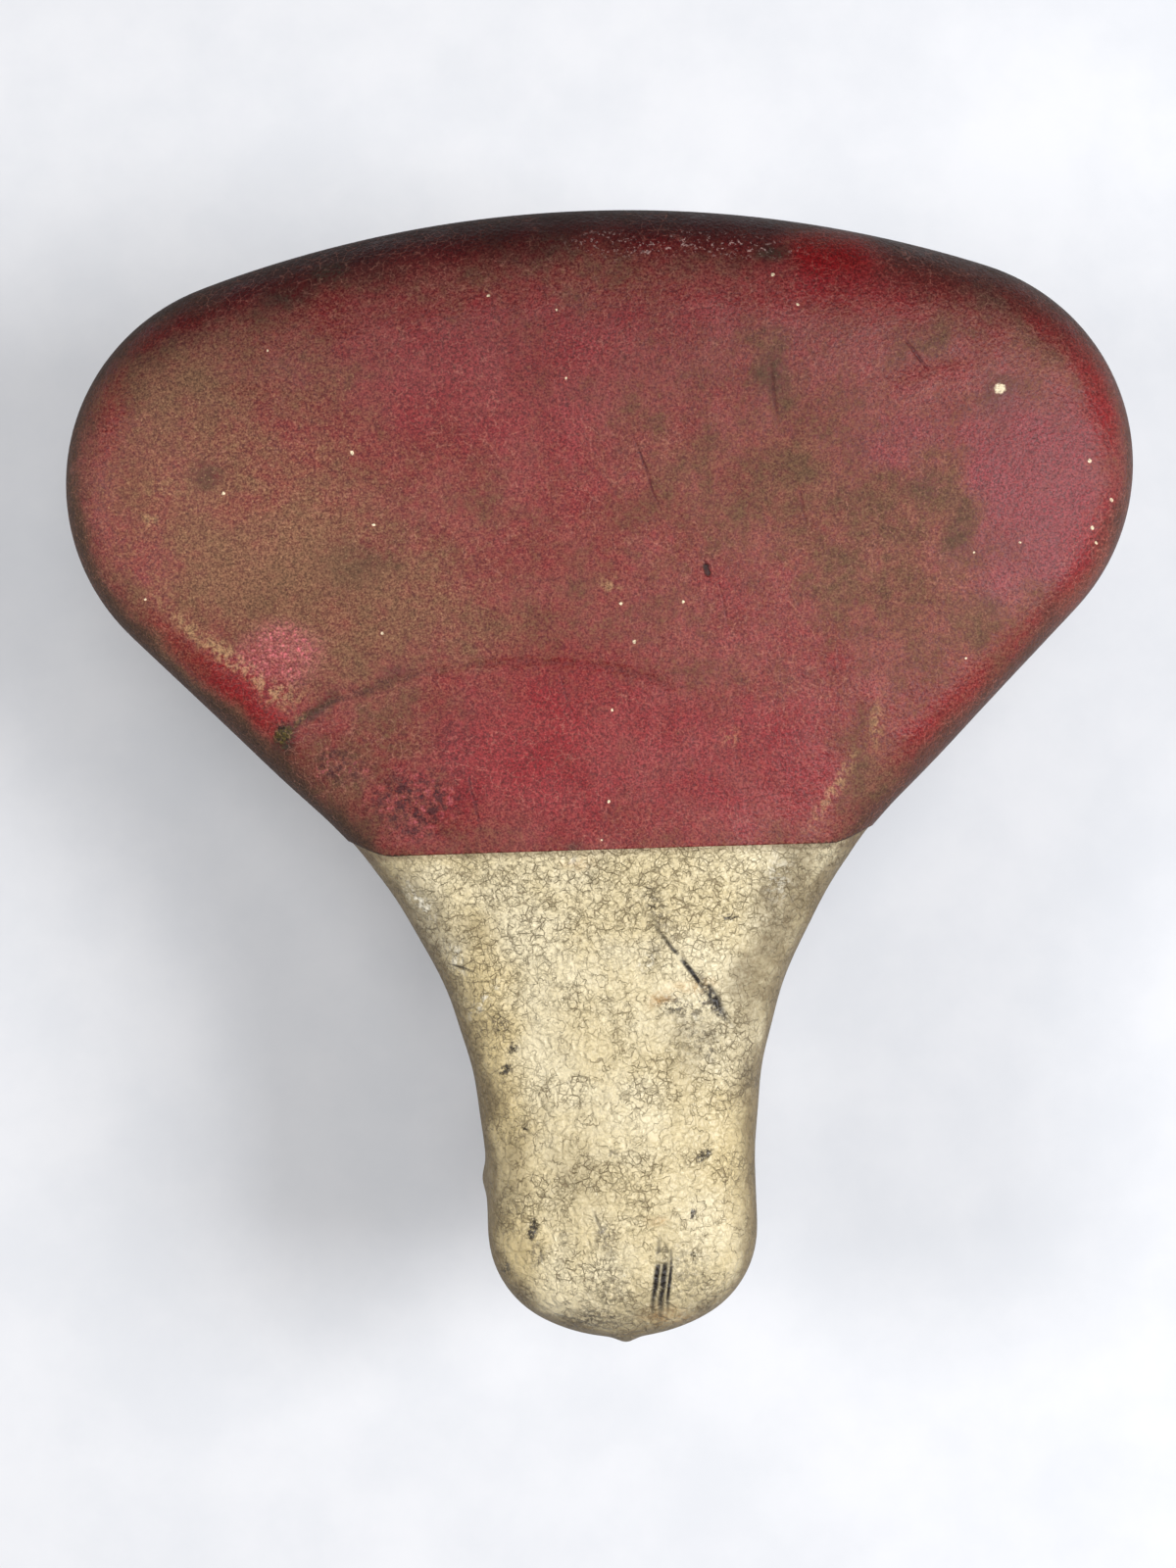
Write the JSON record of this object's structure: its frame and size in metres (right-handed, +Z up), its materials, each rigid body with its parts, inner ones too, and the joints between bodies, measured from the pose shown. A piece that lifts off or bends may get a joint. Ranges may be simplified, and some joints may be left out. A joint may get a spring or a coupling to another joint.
{
  "type": "sprung bicycle saddle",
  "caption": "Two-tone padded bicycle saddle on a wire undercarriage with rear coil springs, rocking at a nose pivot, with a toothed clamp for a round seat post.",
  "frame": {"origin": "on the seat post's axis, level with the clamp's cross bolt", "axes": "+Z up along the seat post, +Y to the saddle's rear, so the nose points along -Y; +X is the right-hand side seen from above with the nose at the bottom"},
  "size_m": [0.23, 0.242, 0.1041],
  "materials": {
    "red_vinyl": "worn grained vinyl",
    "cream_vinyl": "cracked aged vinyl",
    "padding": "felt and foam",
    "pan_steel": "black stove enamel, worn",
    "hem_wire": "dull",
    "hem_clips": "dull",
    "bridge_steel": "black stove enamel, worn",
    "rivet_steel": "dull",
    "bracket_steel": "black stove enamel, worn",
    "cup_steel": "aged bright plate",
    "spring_steel": "aged bright plate",
    "rail_steel": "aged bright plate",
    "tie_steel": "aged bright plate",
    "spring_bolt_steel": "zinc plate",
    "spring_nut_steel": "zinc plate",
    "grip_steel": "zinc plate",
    "band_steel": "zinc plate",
    "cross_bolt_steel": "zinc plate",
    "clamp_nut_steel": "zinc plate",
    "washer_steel": "zinc plate"
  },
  "bodies": {
    "post_clamp": {"post_clamp_band": "band_steel", "clamp_cross_bolt": "cross_bolt_steel", "clamp_washers": "washer_steel", "clamp_nuts": "clamp_nut_steel"},
    "rail_grips": {"inner_rail_grip_left": "grip_steel", "inner_rail_grip_right": "grip_steel", "outer_rail_grip_left": "grip_steel", "outer_rail_grip_right": "grip_steel"},
    "undercarriage": {"wire_rails": "rail_steel", "rear_tie_bar": "tie_steel", "lower_spring_cup_left": "cup_steel", "lower_spring_cup_right": "cup_steel", "lower_spring_bolts": "spring_bolt_steel", "lower_spring_nuts": "spring_nut_steel", "coil_spring_left": "spring_steel", "coil_spring_right": "spring_steel"},
    "seat_top": {"cover_rear_panel": "red_vinyl", "cover_nose_panel": "cream_vinyl", "foam_padding": "padding", "steel_pan": "pan_steel", "hem_wire": "hem_wire", "hem_clips": "hem_clips", "rear_bridge": "bridge_steel", "bridge_rivets": "rivet_steel", "upper_cup_rivets": "rivet_steel", "nose_bracket": "bracket_steel", "nose_rivets": "rivet_steel", "upper_spring_cup_left": "cup_steel", "upper_spring_cup_right": "cup_steel"}
  },
  "joints": [
    {"name": "clamp_tilt", "type": "hinge", "parent": "post_clamp", "child": "rail_grips", "pos_m": [0, 0.016, 0], "axis": [1, 0, 0], "range_deg": [-15, 15]},
    {"name": "rail_slide", "type": "slide", "parent": "rail_grips", "child": "undercarriage", "axis": [0, 1, 0], "range_m": [-0.011, 0.011]},
    {"name": "seat_rock", "type": "hinge", "parent": "undercarriage", "child": "seat_top", "pos_m": [0, -0.09, 0.027], "axis": [-1, 0, 0], "range_deg": [0, 5.2], "stiffness_Nm_per_rad": 1500, "deforming": ["coil_spring_left", "coil_spring_right"]}
  ]
}
